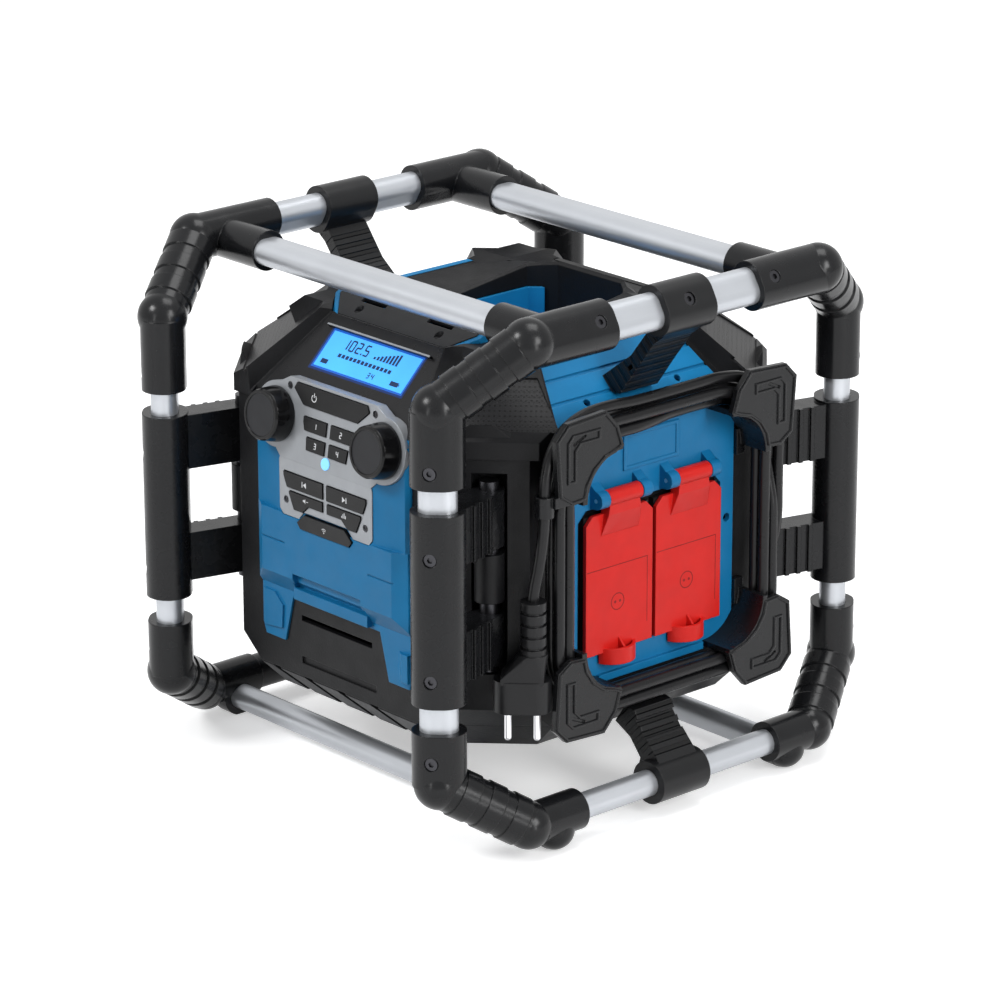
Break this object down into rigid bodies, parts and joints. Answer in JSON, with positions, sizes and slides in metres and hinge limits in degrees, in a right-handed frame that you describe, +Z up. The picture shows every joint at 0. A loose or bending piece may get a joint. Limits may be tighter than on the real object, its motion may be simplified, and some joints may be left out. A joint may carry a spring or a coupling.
{
  "type": "jobsite radio",
  "caption": "Rugged mains radio: octagonal sound box held in a padded tube cage, sloping display, knob panel, hinged socket covers, cord wound on side brackets.",
  "frame": {"origin": "centre of the footprint of the cage, at the ground it stands on", "axes": "+Z up; the controls and display face -Y; the socket covers and the wound lead face +X; +Y is the rear"},
  "size_m": [0.372, 0.3966, 0.3666],
  "materials": {
    "tube_metal": "satin, brushed lengthwise",
    "cage_fittings": "satin black moulding",
    "padding": "satin black soft padding",
    "dark_steel": "blackened",
    "rod_metal": "dark satin",
    "housing": "fine matt texture",
    "panel_blue": "satin blue",
    "bridge": "satin",
    "grille": "perforated, matt black",
    "bezel": "semi-gloss black",
    "display": "back-lit blue",
    "fascia_silver": "satin silver",
    "knob": "gloss flank, matt face",
    "status_light": "back-lit light blue",
    "cover_red": "satin red",
    "socket_black": "semi-gloss",
    "bright_steel": "plain",
    "bracket": "satin black",
    "cord_rubber": "matt",
    "plug_rubber": "matt",
    "door_black": "fine matt texture",
    "latch_red": "satin red",
    "speaker_cone": "matt cone",
    "circuit": "green board with parts",
    "keys": "fine texture"
  },
  "bodies": {
    "frame": {"post_tubes": "tube_metal", "top_cross_tubes": "tube_metal", "top_side_tubes": "tube_metal", "bottom_tubes": "tube_metal", "corner_top_front_left": "cage_fittings", "corner_top_front_right": "cage_fittings", "corner_top_rear_left": "cage_fittings", "corner_top_rear_right": "cage_fittings", "corner_bottom_front_left": "cage_fittings", "corner_bottom_front_right": "cage_fittings", "corner_bottom_rear_left": "cage_fittings", "corner_bottom_rear_right": "cage_fittings", "post_sleeve_front_left": "padding", "post_sleeve_front_right": "padding", "post_sleeve_rear_left": "padding", "post_sleeve_rear_right": "padding", "tube_clamps_top": "cage_fittings", "tube_clamps_bottom": "cage_fittings", "cage_screws": "dark_steel", "mount_rods": "rod_metal", "main_housing": "housing", "base_housing": "housing", "front_panel": "panel_blue", "right_panel": "panel_blue", "left_panel": "panel_blue", "rear_panel": "housing", "top_cover": "housing", "top_bridge": "bridge", "bowl_liner": "panel_blue", "speaker_grilles": "grille", "display_bezel": "bezel", "display_window": "display", "control_fascia": "fascia_silver", "status_light": "status_light", "outlet_sockets": "socket_black", "hinge_pins": "bright_steel", "cord_brackets": "bracket", "cord_winding": "cord_rubber", "cord_tail": "cord_rubber", "mains_plug": "plug_rubber", "corner_speakers": "speaker_cone", "subwoofer": "speaker_cone", "power_unit": "circuit"},
    "left_knob": {"left_knob": "knob"},
    "right_knob": {"right_knob": "knob"},
    "power_button": {"power_button": "keys"},
    "preset_button_1": {"preset_button_1": "keys"},
    "preset_button_2": {"preset_button_2": "keys"},
    "preset_button_3": {"preset_button_3": "keys"},
    "preset_button_4": {"preset_button_4": "keys"},
    "previous_button": {"previous_button": "keys"},
    "next_button": {"next_button": "keys"},
    "mute_button": {"mute_button": "keys"},
    "equalizer_button": {"equalizer_button": "keys"},
    "wireless_button": {"wireless_button": "keys"},
    "outlet_cover_a": {"outlet_cover_a": "cover_red"},
    "outlet_cover_b": {"outlet_cover_b": "cover_red"},
    "battery_door": {"battery_door": "door_black"},
    "battery_latch": {"battery_latch": "latch_red"},
    "port_door": {"port_door": "door_black"}
  },
  "joints": [
    {"name": "left_knob_turn", "type": "hinge", "parent": "frame", "child": "left_knob", "pos_m": [-0.0543, -0.15345, 0.25619], "axis": [0, -0.9882, 0.153], "continuous": true},
    {"name": "right_knob_turn", "type": "hinge", "parent": "frame", "child": "right_knob", "pos_m": [0.0543, -0.15345, 0.25619], "axis": [0, -0.9882, 0.153], "continuous": true},
    {"name": "power_button_press", "type": "slide", "parent": "frame", "child": "power_button", "axis": [0, 0.9882, -0.153], "range_m": [0, 0.0012], "stiffness_N_per_m": 300, "springref_m": -0.0005},
    {"name": "preset_button_1_press", "type": "slide", "parent": "frame", "child": "preset_button_1", "axis": [0, 0.9882, -0.153], "range_m": [0, 0.0012], "stiffness_N_per_m": 300, "springref_m": -0.0005},
    {"name": "preset_button_2_press", "type": "slide", "parent": "frame", "child": "preset_button_2", "axis": [0, 0.9882, -0.153], "range_m": [0, 0.0012], "stiffness_N_per_m": 300, "springref_m": -0.0005},
    {"name": "preset_button_3_press", "type": "slide", "parent": "frame", "child": "preset_button_3", "axis": [0, 0.9882, -0.153], "range_m": [0, 0.0012], "stiffness_N_per_m": 300, "springref_m": -0.0005},
    {"name": "preset_button_4_press", "type": "slide", "parent": "frame", "child": "preset_button_4", "axis": [0, 0.9882, -0.153], "range_m": [0, 0.0012], "stiffness_N_per_m": 300, "springref_m": -0.0005},
    {"name": "previous_button_press", "type": "slide", "parent": "frame", "child": "previous_button", "axis": [0, 1, 0], "range_m": [0, 0.0012], "stiffness_N_per_m": 300, "springref_m": -0.0005},
    {"name": "next_button_press", "type": "slide", "parent": "frame", "child": "next_button", "axis": [0, 1, 0], "range_m": [0, 0.0012], "stiffness_N_per_m": 300, "springref_m": -0.0005},
    {"name": "mute_button_press", "type": "slide", "parent": "frame", "child": "mute_button", "axis": [0, 1, 0], "range_m": [0, 0.0012], "stiffness_N_per_m": 300, "springref_m": -0.0005},
    {"name": "equalizer_button_press", "type": "slide", "parent": "frame", "child": "equalizer_button", "axis": [0, 1, 0], "range_m": [0, 0.0012], "stiffness_N_per_m": 300, "springref_m": -0.0005},
    {"name": "wireless_button_press", "type": "slide", "parent": "frame", "child": "wireless_button", "axis": [0, 1, 0], "range_m": [0, 0.0012], "stiffness_N_per_m": 300, "springref_m": -0.0005},
    {"name": "outlet_cover_a_hinge", "type": "hinge", "parent": "frame", "child": "outlet_cover_a", "pos_m": [0.1515, -0.0315, 0.2234], "axis": [0, -1, 0], "range_deg": [0, 110], "stiffness_Nm_per_rad": 0.01, "springref_deg": -17.19},
    {"name": "outlet_cover_b_hinge", "type": "hinge", "parent": "frame", "child": "outlet_cover_b", "pos_m": [0.1515, 0.0315, 0.2234], "axis": [0, -1, 0], "range_deg": [0, 110], "stiffness_Nm_per_rad": 0.01, "springref_deg": -17.19},
    {"name": "battery_door_hinge", "type": "hinge", "parent": "frame", "child": "battery_door", "pos_m": [0, 0.1463, 0.1034], "axis": [-1, 0, 0], "range_deg": [0, 100]},
    {"name": "battery_latch_slide", "type": "slide", "parent": "battery_door", "child": "battery_latch", "axis": [0, 0, -1], "range_m": [0, 0.004]},
    {"name": "port_door_hinge", "type": "hinge", "parent": "frame", "child": "port_door", "pos_m": [-0.1423, 0, 0.1534], "axis": [0, -1, 0], "range_deg": [0, 100]}
  ]
}
